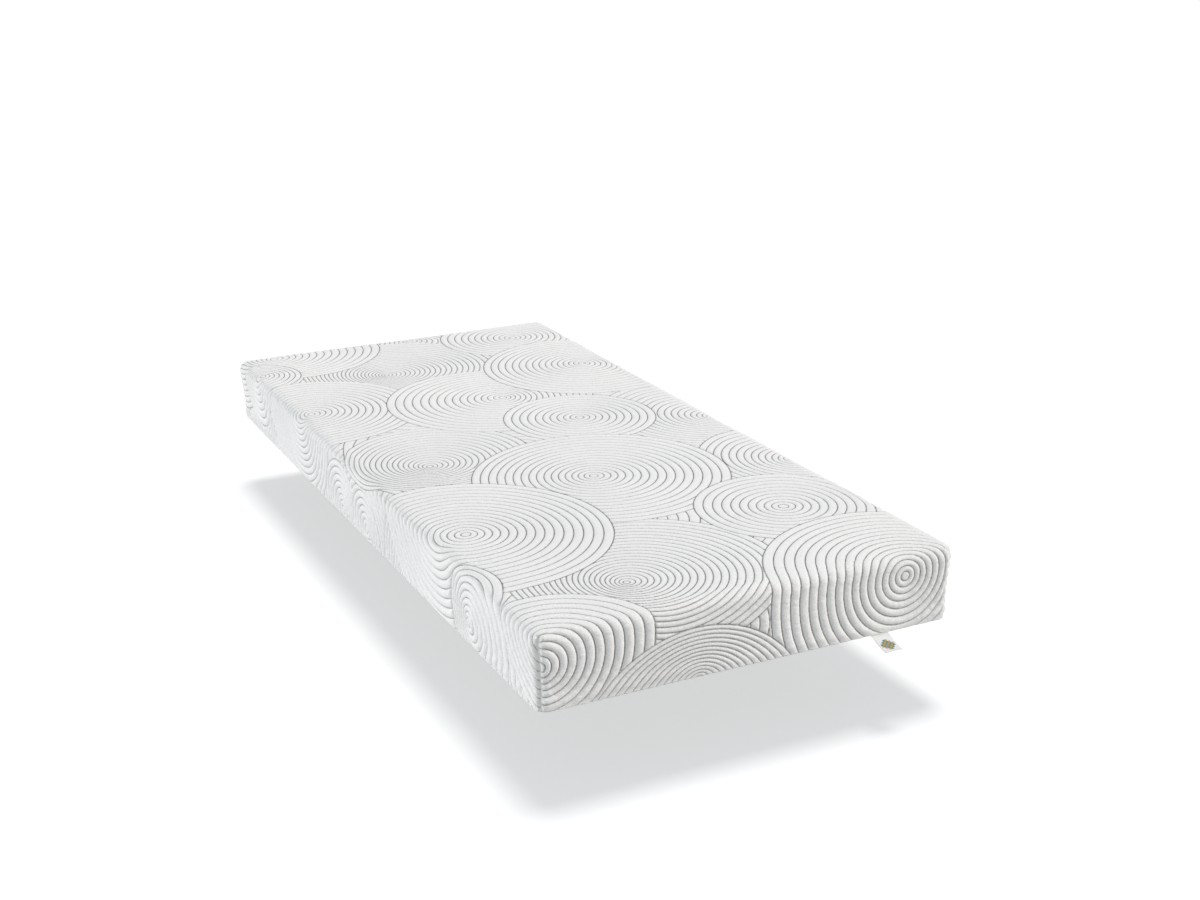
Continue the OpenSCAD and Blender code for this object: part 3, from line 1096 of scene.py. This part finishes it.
def foam(name, colour, pore_shade, pore, sparkle):
    """Open-cell foam with a sawn face: pores of mixed size with painted shade in their middles, and
    faint lines from the blade.
    """
    finish = Finish(name, colour, 0.95, Specular_IOR_Level=0.15)
    pores = finish.between(finish.cells(pore), 0.0, 0.55)
    coarse = finish.between(finish.cells(pore * 0.37), 0.0, 0.35)
    mottle = finish.between(finish.noise(22, 4), 0.3, 0.7)
    # the middles of the pores take the darker colour: painted shade inside them
    tone = finish.mix(pores * coarse, pore_shade, colour)
    finish.feed("Base Color", finish.mix(mottle * 0.35, tone, tuple(0.93 * c for c in colour)))
    saw = finish.noise(60, 2, (1, 1, 14))
    finish.feed("Roughness", finish.between(pores, 0, 1, 0.99, sparkle))
    finish.bump(pores * coarse + saw * 0.8, 0.5 * MM, 0.7)
    return finish.material


def base_weave():
    """Plain-woven grey-white cloth with a hard-wearing, slightly slubby yarn."""
    finish = Finish("base cloth", (0.58, 0.58, 0.57), 0.9, Sheen_Weight=0.1)
    warp, weft = finish.waves(520, "X"), finish.waves(520, "Y")
    slub = finish.noise(40, 3, (1, 12, 1))
    over = warp * weft
    tone = finish.mix(over, (0.50, 0.50, 0.49), (0.66, 0.66, 0.65))
    thick_yarn = finish.between(slub, 0.35, 0.7) * 0.4
    finish.feed("Base Color", finish.mix(thick_yarn, tone, (0.60, 0.59, 0.57)))
    finish.bump(over + slub * 0.6, 0.35 * MM, 0.8)
    return finish.material


def tape_weave():
    """Zip tape: a close herringbone."""
    finish = Finish("zip tape", (0.78, 0.78, 0.78), 0.8, Sheen_Weight=0.15)
    rib = finish.waves(1400, "DIAGONAL")
    finish.feed("Base Color", finish.mix(rib, (0.70, 0.70, 0.70), (0.82, 0.82, 0.82)))
    finish.bump(rib + finish.noise(1200, 2) * 0.5, 0.15 * MM, 0.7)
    return finish.material


def nylon():
    """White nylon of the zip's teeth."""
    finish = Finish("zip nylon", (0.80, 0.80, 0.79), 0.35, Coat_Weight=0.1)
    worn = finish.noise(500, 2)
    finish.feed("Base Color", finish.mix(worn, (0.76, 0.76, 0.75), (0.84, 0.84, 0.83)))
    finish.feed("Roughness", finish.between(worn, 0.3, 0.7, 0.28, 0.45))
    return finish.material


def plated_metal():
    """Nickel-plated die casting: fine tumbling marks and duller, handled patches."""
    finish = Finish("plated metal", (0.66, 0.65, 0.63), 0.28, Metallic=1.0)
    marks = finish.noise(1500, 3, (1, 1, 4))
    handled = finish.noise(180, 2)
    finish.feed("Base Color", finish.mix(handled, (0.60, 0.59, 0.57), (0.72, 0.71, 0.69)))
    finish.feed("Roughness", finish.between(marks + handled * 0.6, 0.4, 1.2, 0.18, 0.42))
    finish.bump(marks, 0.03 * MM, 0.5)
    return finish.material


def seam_thread():
    """The corner welt: pale bias-cut cloth with a twist to it."""
    finish = Finish("seam welt", (0.83, 0.83, 0.82), 0.85, Sheen_Weight=0.2)
    twist = finish.waves(420, "Z")
    finish.feed("Base Color", finish.mix(twist, (0.66, 0.66, 0.64), (0.86, 0.86, 0.85)))
    finish.bump(twist, 0.3 * MM, 0.7)
    return finish.material


def label_weave():
    """White satin ribbon with a woven diamond of teal and ochre checks, no lettering."""
    finish = Finish("label ribbon", (0.86, 0.86, 0.86), 0.55, Sheen_Weight=0.2)
    across, along = finish.point_value("across"), finish.point_value("along")
    check = 5.0 * MM
    x = (across * LABEL[0] - LABEL[0] / 2) / check
    y = (along * LABEL[1] - LABEL[1] * 0.6) / check
    odd = (x.maths("FLOOR") + y.maths("FLOOR")).maths("FLOORED_MODULO", 2.0)
    steps = (x.maths("FLOOR") + 0.5).maths("ABSOLUTE") + (y.maths("FLOOR") + 0.5).maths("ABSOLUTE")
    inside = (3.5 - steps).maths("GREATER_THAN", 0.0)
    # the woven checks' own teal and ochre yarn
    ink_and_shade = finish.mix(odd, (0.05, 0.19, 0.17), (0.46, 0.29, 0.08))
    ribs = finish.waves(1500, "X")
    white = finish.mix(ribs, (0.80, 0.80, 0.80), (0.88, 0.88, 0.88))
    finish.feed("Base Color", finish.mix(inside * 0.92, white, ink_and_shade))
    finish.bump(ribs + inside * 0.6, 0.12 * MM, 0.6)
    return finish.material


# ---------------------------------------------------------------- the pieces put together


def settle(piece, body, slot, material, *nodes):
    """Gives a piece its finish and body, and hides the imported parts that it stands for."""
    piece.data.materials.append(material)
    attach(piece, body)
    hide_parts(*nodes)
    return piece


camera()

cover = settle(quilted_cover(), "cover", "knit", knit(), "cover_face", "cover_wadding", "hem")
settle(corner_seams(), "cover", "seam_cloth", seam_thread(), "corner_seams")

lined = settle(lining(), "cover", "backing", lining_cloth(), "cover_backing")

# each foam's second colour is the painted shade inside its pores
core = settle(foam_core(), "foam", "support_foam",
              foam("support foam", (0.80, 0.77, 0.66), (0.55, 0.52, 0.42), 420, 0.85),
              "support_core")
memory = settle(memory_foam(), "foam", "memory_foam",
                foam("memory foam", (0.80, 0.83, 0.85), (0.62, 0.66, 0.69), 900, 0.75),
                "memory_layer")

base = settle(base_cloth(), "base", "base_cloth", base_weave(), "base_panel")

weave = tape_weave()
settle(tape("lower_tape", "lower_zip_tape", True), "base", "zip_tape", weave, "lower_zip_tape")
settle(tape("upper_tape", "upper_zip_tape", False), "cover", "zip_tape", weave, "upper_zip_tape")

slider_low, slider_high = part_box("zip_slider")
lower_stop, upper_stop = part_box("lower_zip_box")[1].x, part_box("upper_zip_stop")[1].x
teeth = nylon()
settle(coil("lower_teeth", "lower_zip_teeth", (slider_high.x, lower_stop), 0.0), "base",
       "zip_teeth", teeth, "lower_zip_teeth")
settle(coil("upper_teeth", "upper_zip_teeth", (slider_low.x - 1 * MM, upper_stop), 0.5), "cover",
       "zip_teeth", teeth, "upper_zip_teeth")

metal = plated_metal()
for node, name, body, bevel in (
    ("zip_slider", "slider", "slider", 0.35 * MM),
    ("zip_pull", "slider_pull", "pull", 0.45 * MM),
    ("lower_zip_box", "lower_stop", "base", 0.4 * MM),
    ("upper_zip_stop", "upper_stop", "cover", 0.4 * MM),
):
    settle(softened(node, name, bevel), body, "zip_metal", metal, node)

ribbon = label_weave()
tag = settle(label(), "label", "label_cloth", ribbon, "label")
tab = settle(label_tab(), "cover", "label_cloth", ribbon, "label_tab")

studio()
